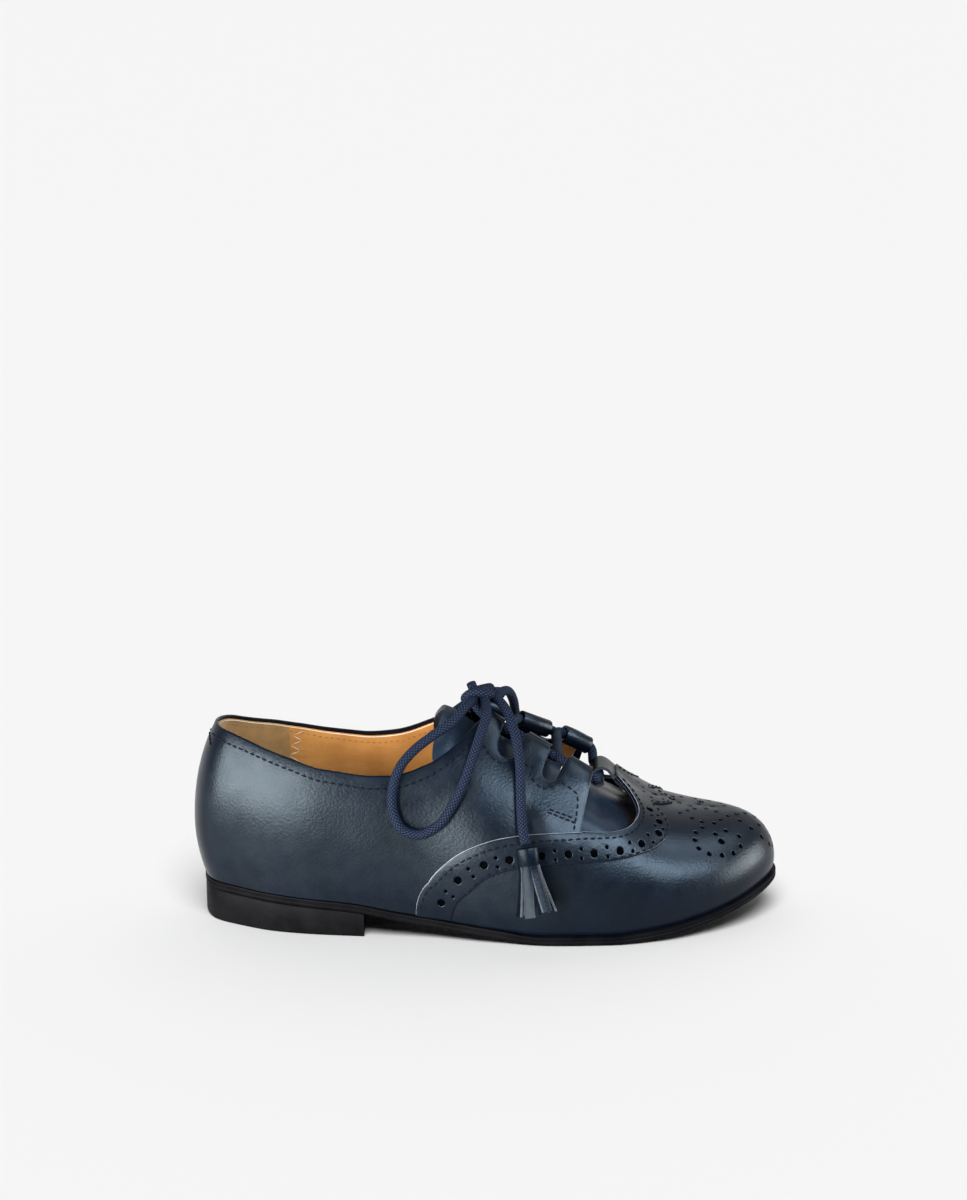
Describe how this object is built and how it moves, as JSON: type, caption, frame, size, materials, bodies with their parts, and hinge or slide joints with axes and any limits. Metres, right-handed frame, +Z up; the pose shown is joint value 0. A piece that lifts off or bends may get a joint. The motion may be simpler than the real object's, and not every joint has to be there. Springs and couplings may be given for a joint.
{
  "type": "brogue",
  "caption": "Child's low lace-up brogue with folded lace tabs, a punched wing band round the toe, a bowed lace with leather tassels, a thin sole and a low heel.",
  "frame": {"origin": "middle of the shoe's footprint on the floor, lace bow, ends and tassels left out", "axes": "+X from heel to toe, +Y to the inner side of this right shoe, +Z up"},
  "size_m": [0.1898, 0.094, 0.0758],
  "materials": {
    "navy_leather": "satin grained leather, dyed navy",
    "black_sole": "black, satin edge",
    "tan_lining": "smooth undyed lining leather",
    "navy_lace": "round braided cord"
  },
  "bodies": {
    "root": {"upper": "navy_leather", "tongue": "navy_leather", "insole": "tan_lining", "outsole": "black_sole", "heel": "black_sole", "wing_band": "navy_leather", "loop_throat": "navy_leather", "lace_crossing_1": "navy_lace", "lace_crossing_2": "navy_lace", "lace_knot": "navy_lace", "loop_lateral_1": "navy_leather", "loop_lateral_2": "navy_leather", "loop_lateral_3": "navy_leather", "lace_bow_lateral": "navy_lace", "lace_end_lateral": "navy_lace", "tassel_lateral": "navy_leather", "loop_medial_1": "navy_leather", "loop_medial_2": "navy_leather", "loop_medial_3": "navy_leather", "lace_bow_medial": "navy_lace", "lace_end_medial": "navy_lace", "tassel_medial": "navy_leather"}
  },
  "joints": []
}
